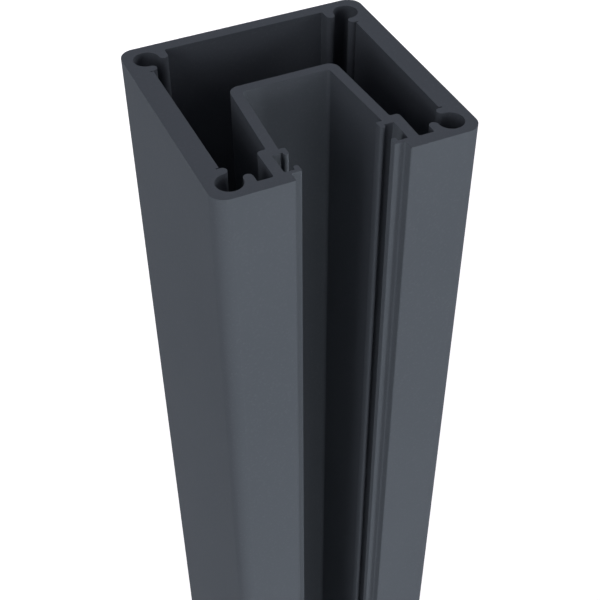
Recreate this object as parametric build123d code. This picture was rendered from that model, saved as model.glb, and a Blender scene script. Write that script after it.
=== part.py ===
from build123d import *
import os

# Metal fence post: one aluminium extrusion, sawn square at both ends, for a fence of boards that
# drop into its channel from above. Millimetres. The origin is the middle of the foot, +Z runs up
# the post, and the channel opens to the front, towards -Y.

# Overall
post_length = 1900.0
post_width = 60.0  # side to side, along X
post_depth = 60.0  # front to back, along Y
corner_radius = 3.5

# Outer tube
front_wall = 3.0
back_wall = 3.2
side_wall = 5.0

# Screw ports: one in each corner, open towards the middle of the post
side_port_inset = 5.15  # from the nearer side face to a port's axis
front_port_inset = 5.0  # from the front face to the front ports' axes
back_port_inset = 5.4  # from the back face to the back ports' axes
port_radius = 2.95
rib_thickness = 2.1
rib_reach = 1.1  # from the port's axis to a rib's rounded tip
rib_root_radius = 0.4
relief_width = 0.3  # slot beside a side rib, where it springs from the thick side wall
relief_depth = 0.7

# Board channel
board_thickness = 20.0
lip_clearance = 0.35  # each side of the board, between the lips
floor_clearance = 0.45  # each side of the board, at the channel's floor
mouth_clearance = 1.8  # each side of the board, just behind the back lips
channel_depth = 33.5  # from the front face to the channel's floor
channel_wall = 2.4
floor_outer_radius = 2.45
floor_inner_radius = 0.9

# Mouth of the channel: a shallow rebate, a pair of front lips, a strip pocket and a pair of back lips
rebate_depth = 2.5
rebate_step = 2.45  # from a lip's end to the rebate's side
rebate_edge_radius = 0.3
rebate_root_radius = 0.45
front_lip = 0.9
back_lip = 1.4
lip_end_radius = 0.3
pocket_length = 6.2  # front to back, between the lips
pocket_reach = 3.5  # from a lip's end to the pocket's side
pocket_wall = 2.4
pocket_corner_radius = 0.3
pocket_root_radius = 0.5  # where the pocket's wall meets the front wall
shoulder = 2.4  # wall between the pocket and the side chamber behind it
shoulder_radius = 0.85
shoulder_root_radius = 0.5
bead_thickness = 1.2  # bead along each lip's end, turned into the pocket
front_bead_reach = 1.25
back_bead_reach = 1.0

# Places worked out from the sizes above
half_width = post_width / 2
front_y = -post_depth / 2
back_y = post_depth / 2
rebate_y = front_y + rebate_depth
pocket_front_y = rebate_y + front_lip
pocket_back_y = pocket_front_y + pocket_length
back_lip_y = pocket_back_y + back_lip
shoulder_y = pocket_back_y + shoulder
floor_y = front_y + channel_depth
floor_back_y = floor_y + channel_wall

lip_x = board_thickness / 2 + lip_clearance
rebate_x = lip_x + rebate_step
pocket_x = lip_x + pocket_reach
pocket_outer_x = pocket_x + pocket_wall
floor_x = board_thickness / 2 + floor_clearance
mouth_x = board_thickness / 2 + mouth_clearance

chamber_x = half_width - side_wall
chamber_front_y = front_y + front_wall
chamber_back_y = back_y - back_wall
port_x = half_width - side_port_inset
rib_offset = port_radius + rib_thickness / 2  # from a port's axis to the middle of its ribs
rib_root_x = port_x - port_radius - rib_thickness


def block(x_low, x_high, y_low, y_high):
    """A rectangle between two corners."""
    return Pos((x_low + x_high) / 2, (y_low + y_high) / 2) * Rectangle(x_high - x_low, y_high - y_low)


def both_sides(shape):
    """A shape of the right-hand half together with its mirror image on the left."""
    return shape + mirror(shape, about=Plane.YZ)


def round_tipped_bar(length, thickness):
    """A bar that starts at the origin, runs along +Y and ends in a half round."""
    tip_radius = thickness / 2
    flank = block(-tip_radius, tip_radius, 0, length - tip_radius)
    return flank + Pos(0, length - tip_radius) * Circle(tip_radius)


def rounded(shape, corners, radius):
    """The shape with the given right-hand corners, and their mirror images, rounded."""
    picked = []
    for x, y in corners:
        for side in (-1, 1):
            picked.append(shape.vertices().sort_by_distance((side * x, y, 0))[0])
    return fillet(picked, radius)


def tapered_x(y):
    """Half the channel's width at y: it widens evenly from the floor to the back lips."""
    return floor_x + (mouth_x - floor_x) * (floor_y - y) / (floor_y - back_lip_y)


def outline():
    """The post's outer outline, with its rounded corners."""
    return RectangleRounded(post_width, post_depth, corner_radius)


def outer_tube():
    """The square tube with one open chamber."""
    return outline() - block(-chamber_x, chamber_x, chamber_front_y, chamber_back_y)


def channel_body():
    """The channel's floor, sides, shoulders and pocket walls, still solid inside."""
    right = [
        (floor_x + channel_wall, floor_back_y),
        (tapered_x(shoulder_y) + channel_wall, shoulder_y),
        (pocket_outer_x, shoulder_y),
        (pocket_outer_x, front_y),
    ]
    left = [(-x, y) for x, y in reversed(right)]
    body = make_face(Polyline(right + left, close=True))
    body = rounded(body, right[0:1], floor_outer_radius)
    body = rounded(body, right[1:2], shoulder_root_radius)
    return rounded(body, right[2:3], shoulder_radius)


def board_space():
    """The tapered room for the boards, from the channel's floor to the back lips."""
    right = [(floor_x, floor_y), (mouth_x, back_lip_y)]
    left = [(-x, y) for x, y in reversed(right)]
    return rounded(make_face(Polyline(right + left, close=True)), right[0:1], floor_inner_radius)


def strip_pocket():
    """The pocket behind each front lip, drawn as one shape from side to side."""
    pocket = block(-pocket_x, pocket_x, pocket_front_y, pocket_back_y)
    return fillet(pocket.vertices(), pocket_corner_radius)


def lip_beads():
    """The round beads that turn in from the ends of the front and back lips."""
    bead_x = lip_x + bead_thickness / 2
    front = Pos(bead_x, pocket_front_y) * round_tipped_bar(front_bead_reach, bead_thickness)
    back = Pos(bead_x, pocket_back_y) * Rot(0, 0, 180) * round_tipped_bar(back_bead_reach, bead_thickness)
    return both_sides(front + back)


def port_walls(inset):
    """The back right-hand port before its hole is cut: two ribs and the metal in the corner."""
    port_y = back_y - inset
    back_rib = Rot(0, 0, 180) * round_tipped_bar(inset + rib_reach, rib_thickness)
    side_rib = Rot(0, 0, 90) * round_tipped_bar(side_port_inset + rib_reach, rib_thickness)
    ribs = Pos(port_x - rib_offset, back_y) * back_rib + Pos(half_width, port_y - rib_offset) * side_rib
    corner = block(port_x - rib_offset, half_width, port_y, back_y)
    corner += block(port_x, half_width, port_y - rib_offset, back_y)
    return ribs + (corner & outline())


def port_cuts(inset):
    """The back right-hand port's hole, and the relief slot beside its side rib."""
    port_y = back_y - inset
    hole = Pos(port_x, port_y) * Circle(port_radius)
    relief_y = port_y - port_radius - rib_thickness - relief_width / 2
    slot = Rot(0, 0, -90) * round_tipped_bar(relief_depth, relief_width)
    return hole + Pos(chamber_x, relief_y) * slot


def four_corners(corner_shape):
    """A shape of the back right-hand port, given the port's inset, repeated in all four corners."""
    back = both_sides(corner_shape(back_port_inset))
    front = both_sides(corner_shape(front_port_inset))
    return back + mirror(front, about=Plane.XZ)


def section():
    """The whole cross-section of the post."""
    profile = outer_tube() + channel_body() + four_corners(port_walls)
    profile -= four_corners(port_cuts)
    profile -= board_space()
    profile -= strip_pocket()
    profile -= block(-lip_x, lip_x, front_y, back_lip_y)
    profile -= block(-rebate_x, rebate_x, front_y, rebate_y)
    profile += lip_beads()
    rib_roots = [(rib_root_x, chamber_front_y), (rib_root_x, chamber_back_y)]
    profile = rounded(profile, rib_roots, rib_root_radius)
    profile = rounded(profile, [(pocket_outer_x, chamber_front_y)], pocket_root_radius)
    profile = rounded(profile, [(rebate_x, front_y)], rebate_edge_radius)
    profile = rounded(profile, [(rebate_x, rebate_y)], rebate_root_radius)
    return rounded(profile, [(lip_x, rebate_y), (lip_x, back_lip_y)], lip_end_radius)


post = extrude(section(), post_length)

os.makedirs("parts", exist_ok=True)
export_step(post, "parts/post.step")
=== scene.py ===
import math

import bpy
from mathutils import Matrix, Vector


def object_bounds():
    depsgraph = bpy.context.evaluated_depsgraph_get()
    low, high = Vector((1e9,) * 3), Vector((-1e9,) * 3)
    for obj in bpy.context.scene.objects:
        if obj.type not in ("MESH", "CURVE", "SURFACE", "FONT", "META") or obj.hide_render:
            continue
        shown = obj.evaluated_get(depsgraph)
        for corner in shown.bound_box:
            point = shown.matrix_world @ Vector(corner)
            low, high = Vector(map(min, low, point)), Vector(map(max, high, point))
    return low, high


# Metal fence post: one aluminium extrusion, sawn square, then powder coated in fine-textured
# anthracite. Metres. The origin is the middle of the foot, +Z runs up the post, and the channel
# for the boards opens to the front, towards -Y.

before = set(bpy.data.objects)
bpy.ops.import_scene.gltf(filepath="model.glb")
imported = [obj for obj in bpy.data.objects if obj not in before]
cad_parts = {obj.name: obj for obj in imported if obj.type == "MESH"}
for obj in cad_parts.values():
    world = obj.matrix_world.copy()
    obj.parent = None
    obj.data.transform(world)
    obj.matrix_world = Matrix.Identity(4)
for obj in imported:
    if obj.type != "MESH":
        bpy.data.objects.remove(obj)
cad_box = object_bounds()

MM = 0.001
WHITE = (1.0, 1.0, 1.0, 1.0)


# Helpers

def srgb(code):
    """An sRGB hex colour as a linear colour with alpha."""
    channels = [int(code[i:i + 2], 16) / 255 for i in (1, 3, 5)]
    linear = [c / 12.92 if c <= 0.04045 else ((c + 0.055) / 1.055) ** 2.4 for c in channels]
    return (*linear, 1.0)


def per_metre(size_mm):
    """The scale of a pattern whose grains are this many millimetres across."""
    return 1 / (size_mm * MM)


def add(tree, kind, settings=None, links=None):
    """Adds a node, sets its properties and its sockets' values, and links sockets from other nodes."""
    node = tree.nodes.new(kind)
    for name, value in (settings or {}).items():
        if isinstance(name, str) and hasattr(node, name):
            setattr(node, name, value)
        else:
            node.inputs[name].default_value = value
    for name, source in (links or {}).items():
        tree.links.new(source, node.inputs[name])
    return node


def new_material(name):
    """An empty node material and its tree."""
    material = bpy.data.materials.new(name)
    material.use_nodes = True
    material.node_tree.nodes.clear()
    return material, material.node_tree


# Materials

# Polyester powder coat on extruded aluminium, sprayed as dry powder and baked. The fine-textured
# grade cures with a faint grain and no gloss, so the eye sees an even, matt, bluish dark grey.
COAT_COLOUR = "#555B61"
COAT_THIN = "#53595F"  # where the powder lies a little thinner
COAT_SPECK = "#5B6167"  # tips of the grain
COAT_ROUGHNESS = 0.9
COAT_IOR = 1.5
COAT_SPECULAR = 0.04
GRAIN_MM = 0.55  # such a coat's grain is usually 0.15 to 0.3 mm, drawn coarser here so that it shows
GRAIN_DETAIL = 2.0
GRAIN_BREAKUP = 0.55
GRAIN_HEIGHT_MM = 0.02
GRAIN_TIPS = (0.55, 0.72)  # the grain's height, 0 to 1, where its tips start to pale and are palest
TIPS_STRENGTH = 0.6
FLOW_MM = 4.0  # the long low waves where the powder flowed before it set
FLOW_DETAIL = 1.0
FLOW_HEIGHT_MM = 0.03
CLOUD_MM = 60.0  # slow changes in how thick the powder lies
CLOUD_DETAIL = 3.0
CLOUD_RANGE = (0.35, 0.65)  # the cloud's value where the powder is thinnest and where it is fullest
EDGE_RADIUS_MM = 0.1  # the coat rounds every sawn edge by about its own thickness
EDGE_SAMPLES = 4

# Sockets of a Mix node that mixes colours
MIX_FACTOR = 0
MIX_FIRST = 6
MIX_SECOND = 7
MIX_RESULT = 2


def fine_textured_powder_coat():
    """The coat: grain and flow waves as relief, clouds and grain tips as slight changes of colour."""
    material, tree = new_material("fine_textured_powder_coat")
    place = add(tree, "ShaderNodeTexCoord").outputs["Object"]
    grain = add(
        tree, "ShaderNodeTexNoise",
        {"Scale": per_metre(GRAIN_MM), "Detail": GRAIN_DETAIL, "Roughness": GRAIN_BREAKUP},
        {"Vector": place},
    )
    flow = add(
        tree, "ShaderNodeTexNoise",
        {"Scale": per_metre(FLOW_MM), "Detail": FLOW_DETAIL},
        {"Vector": place},
    )
    cloud = add(
        tree, "ShaderNodeTexNoise",
        {"Scale": per_metre(CLOUD_MM), "Detail": CLOUD_DETAIL},
        {"Vector": place},
    )
    thickness = add(
        tree, "ShaderNodeMapRange",
        {"From Min": CLOUD_RANGE[0], "From Max": CLOUD_RANGE[1]},
        {"Value": cloud.outputs["Fac"]},
    )
    body = add(
        tree, "ShaderNodeMix",
        {"data_type": "RGBA", MIX_FIRST: srgb(COAT_THIN), MIX_SECOND: srgb(COAT_COLOUR)},
        {MIX_FACTOR: thickness.outputs["Result"]},
    )
    tips = add(
        tree, "ShaderNodeMapRange",
        {"From Min": GRAIN_TIPS[0], "From Max": GRAIN_TIPS[1], "To Max": TIPS_STRENGTH},
        {"Value": grain.outputs["Fac"]},
    )
    colour = add(
        tree, "ShaderNodeMix",
        {"data_type": "RGBA", MIX_SECOND: srgb(COAT_SPECK)},
        {MIX_FACTOR: tips.outputs["Result"], MIX_FIRST: body.outputs[MIX_RESULT]},
    )
    edges = add(tree, "ShaderNodeBevel", {"samples": EDGE_SAMPLES, "Radius": EDGE_RADIUS_MM * MM})
    waves = add(
        tree, "ShaderNodeBump",
        {"Strength": 1.0, "Distance": FLOW_HEIGHT_MM * MM},
        {"Height": flow.outputs["Fac"], "Normal": edges.outputs["Normal"]},
    )
    relief = add(
        tree, "ShaderNodeBump",
        {"Strength": 1.0, "Distance": GRAIN_HEIGHT_MM * MM},
        {"Height": grain.outputs["Fac"], "Normal": waves.outputs["Normal"]},
    )
    coat = add(
        tree, "ShaderNodeBsdfPrincipled",
        {
            "Metallic": 0.0,
            "Roughness": COAT_ROUGHNESS,
            "IOR": COAT_IOR,
            "Specular IOR Level": COAT_SPECULAR,
        },
        {"Base Color": colour.outputs[MIX_RESULT], "Normal": relief.outputs["Normal"]},
    )
    add(tree, "ShaderNodeOutputMaterial", None, {"Surface": coat.outputs["BSDF"]})
    return material


# White studio floor: painted board that takes the post's soft shadow. Its own glow, which only the
# camera, reflections and clear things see, lifts the lit board to pure white. Beyond the softboxes the
# board is less lit and glows more.
FLOOR_COLOUR = "#E6E6E6"
FLOOR_ROUGHNESS = 0.9
FLOOR_GLOW_NEAR = 0.53
FLOOR_GLOW_FAR = 0.63
FLOOR_GLOW_RAMP = (3.0, 7.0)  # from the post


def seen_directly(tree):
    """1 for rays from the camera, off a glossy surface or through a clear one, otherwise 0."""
    path = add(tree, "ShaderNodeLightPath")
    glossy_too = add(
        tree, "ShaderNodeMath", {"operation": "MAXIMUM"},
        {0: path.outputs["Is Camera Ray"], 1: path.outputs["Is Glossy Ray"]},
    )
    return add(
        tree, "ShaderNodeMath", {"operation": "MAXIMUM"},
        {0: glossy_too.outputs[0], 1: path.outputs["Is Transmission Ray"]},
    ).outputs[0]


def white_floor_board():
    """The painted board, with a glow that follows the distance from the post."""
    material, tree = new_material("white_floor_board")
    place = add(tree, "ShaderNodeTexCoord").outputs["Object"]
    distance = add(tree, "ShaderNodeVectorMath", {"operation": "LENGTH"}, {0: place})
    level = add(
        tree, "ShaderNodeMapRange",
        {
            "From Min": FLOOR_GLOW_RAMP[0],
            "From Max": FLOOR_GLOW_RAMP[1],
            "To Min": FLOOR_GLOW_NEAR,
            "To Max": FLOOR_GLOW_FAR,
        },
        {"Value": distance.outputs["Value"]},
    )
    glow = add(
        tree, "ShaderNodeMath", {"operation": "MULTIPLY"},
        {0: seen_directly(tree), 1: level.outputs["Result"]},
    )
    board = add(
        tree, "ShaderNodeBsdfPrincipled",
        {
            "Base Color": srgb(FLOOR_COLOUR),
            "Roughness": FLOOR_ROUGHNESS,
            "Specular IOR Level": 0.0,
            "Emission Color": WHITE,
        },
        {"Emission Strength": glow.outputs[0]},
    )
    add(tree, "ShaderNodeOutputMaterial", None, {"Surface": board.outputs["BSDF"]})
    return material


# The post

def coat_the_post():
    """The extrusion keeps its own shape and takes the powder coat all over."""
    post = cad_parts["post"]
    coat = fine_textured_powder_coat()
    for slot in post.material_slots:
        slot.material = coat


# Floor, light and camera

FLOOR_SIZE = 60.0


def lay_floor():
    """The white board under the post. It is staging and no part of the object."""
    half = FLOOR_SIZE / 2
    corners = [(-half, -half, 0), (half, -half, 0), (half, half, 0), (-half, half, 0)]
    mesh = bpy.data.meshes.new("studio_floor")
    mesh.from_pydata(corners, [], [(0, 1, 2, 3)])
    floor = bpy.data.objects.new("studio_floor", mesh)
    bpy.context.scene.collection.objects.link(floor)
    mesh.materials.append(white_floor_board())


# A pale dome gives faint even light. Strip softboxes stand on the floor all round, as tall as the post, so
# that they light its sides and no light from them falls into its open top end. Lamps on booms light the
# sawn end and the hollows: the low ones only their upper edges, the high ones further down. The levels are
# fitted to how light and dark the post's faces are in the photograph, and rounded.
DOME_LIGHT = 0.08
DOME_TINT = (1.0, 0.9, 1.15)  # a breath of violet, which shows in the hollows
SOFTBOX_DISTANCE = 6.0  # from the post
SOFTBOX_WIDTH = 0.85
SOFTBOXES = {  # clockwise from straight in front of the post, seen from above, in degrees, and light level
    "left_side_softbox": (70, 0.15),
    "front_softbox": (4, 0.10),
    "front_right_softbox": (-12, 0.03),
    "right_front_softbox": (-30, 0.32),
    "right_back_softbox": (-140, 0.15),
    "back_softbox": (175, 0.24),
}
BOOM_LAMPS = {  # the same angle, the angle above the horizon, and light level
    "left_low_lamp": (60, 12, 0.15),
    "front_low_lamp": (-10, 12, 0.04),
    "right_low_lamp": (-60, 12, 0.15),
    "left_boom_lamp": (60, 30, 0.08),
    "right_boom_lamp": (-90, 30, 0.10),
    "front_high_lamp": (-30, 60, 0.03),
    "back_high_lamp": (-150, 60, 0.30),
}
BOOM_LAMP_TINT = (1.0, 0.975, 1.015)
BOOM_LAMP_WIDTH = math.radians(20)  # as seen from the post


def towards(round_from_front, above):
    """The direction from the post to a lamp, from two angles in degrees."""
    turn = math.radians(round_from_front)
    rise = math.radians(above)
    level_part = Vector((-math.sin(turn), -math.cos(turn), 0)) * math.cos(rise)
    return level_part + Vector((0, 0, math.sin(rise)))


def stand_softboxes():
    """At level 1 a softbox lights a white sheet that faces it, at the post, to plain white."""
    height = cad_box[1].z
    for name, (round_from_front, level) in SOFTBOXES.items():
        outward = towards(round_from_front, 0)
        data = bpy.data.lights.new(name, "AREA")
        data.shape = "RECTANGLE"
        data.size = SOFTBOX_WIDTH
        data.size_y = height
        data.energy = level * math.pi * SOFTBOX_DISTANCE**2 * math.pi
        softbox = bpy.data.objects.new(name, data)
        softbox.location = outward * SOFTBOX_DISTANCE + Vector((0, 0, height / 2))
        softbox.rotation_euler = outward.to_track_quat("Z", "Y").to_euler()
        softbox.visible_camera = False
        bpy.context.scene.collection.objects.link(softbox)


def hang_boom_lamps():
    """Soft lamps far off. At level 1 a white sheet that faces one is lit to plain white."""
    for name, (round_from_front, above, level) in BOOM_LAMPS.items():
        data = bpy.data.lights.new(name, "SUN")
        data.angle = BOOM_LAMP_WIDTH
        data.color = BOOM_LAMP_TINT
        data.energy = level * math.pi
        lamp = bpy.data.objects.new(name, data)
        lamp.rotation_euler = towards(round_from_front, above).to_track_quat("Z", "Y").to_euler()
        bpy.context.scene.collection.objects.link(lamp)


def light_dome():
    """The faint dome that lights the post, seen as plain white by the camera and in reflections."""
    world = bpy.data.worlds.new("light_dome")
    world.use_nodes = True
    bpy.context.scene.world = world
    tree = world.node_tree
    tree.nodes.clear()
    dome = add(
        tree, "ShaderNodeBackground", {"Color": (*DOME_TINT, 1.0), "Strength": DOME_LIGHT}
    )
    white = add(tree, "ShaderNodeBackground", {"Color": WHITE, "Strength": 1.0})
    both = add(
        tree, "ShaderNodeMixShader", None,
        {0: seen_directly(tree), 1: dome.outputs[0], 2: white.outputs[0]},
    )
    add(tree, "ShaderNodeOutputWorld", None, {"Surface": both.outputs[0]})


# Camera: to the left of the channel's mouth and above the top end, looking down into it. Its place and lens
# are fitted to the post's edges in the photograph.
CAMERA_FROM_TOP_MM = (-84.95, -190.71, 134.94)  # from the middle of the top end
CAMERA_HEADING = math.radians(24.355)
CAMERA_DOWN = math.radians(43.482)
CAMERA_ROLL = math.radians(-0.421)
CAMERA_LENS_MM = 67.83
CAMERA_SENSOR_MM = 36.0
CAMERA_SEES_FROM = 0.01
CAMERA_SEES_TO = 100.0


def place_camera():
    """Sets the camera over the post's top end, at the photograph's viewing angle."""
    data = bpy.data.cameras.new("photo_view")
    data.sensor_width = CAMERA_SENSOR_MM
    data.lens = CAMERA_LENS_MM
    data.clip_start = CAMERA_SEES_FROM
    data.clip_end = CAMERA_SEES_TO
    camera = bpy.data.objects.new("photo_view", data)
    bpy.context.scene.collection.objects.link(camera)
    top = Vector((0, 0, cad_box[1].z))
    turn = (
        Matrix.Rotation(-CAMERA_HEADING, 4, "Z")
        @ Matrix.Rotation(math.pi / 2 - CAMERA_DOWN, 4, "X")
        @ Matrix.Rotation(CAMERA_ROLL, 4, "Z")
    )
    camera.matrix_world = Matrix.Translation(top + Vector(CAMERA_FROM_TOP_MM) * MM) @ turn
    bpy.context.scene.camera = camera


coat_the_post()
lay_floor()
light_dome()
stand_softboxes()
hang_boom_lamps()
place_camera()
bpy.context.scene.view_settings.view_transform = "Standard"
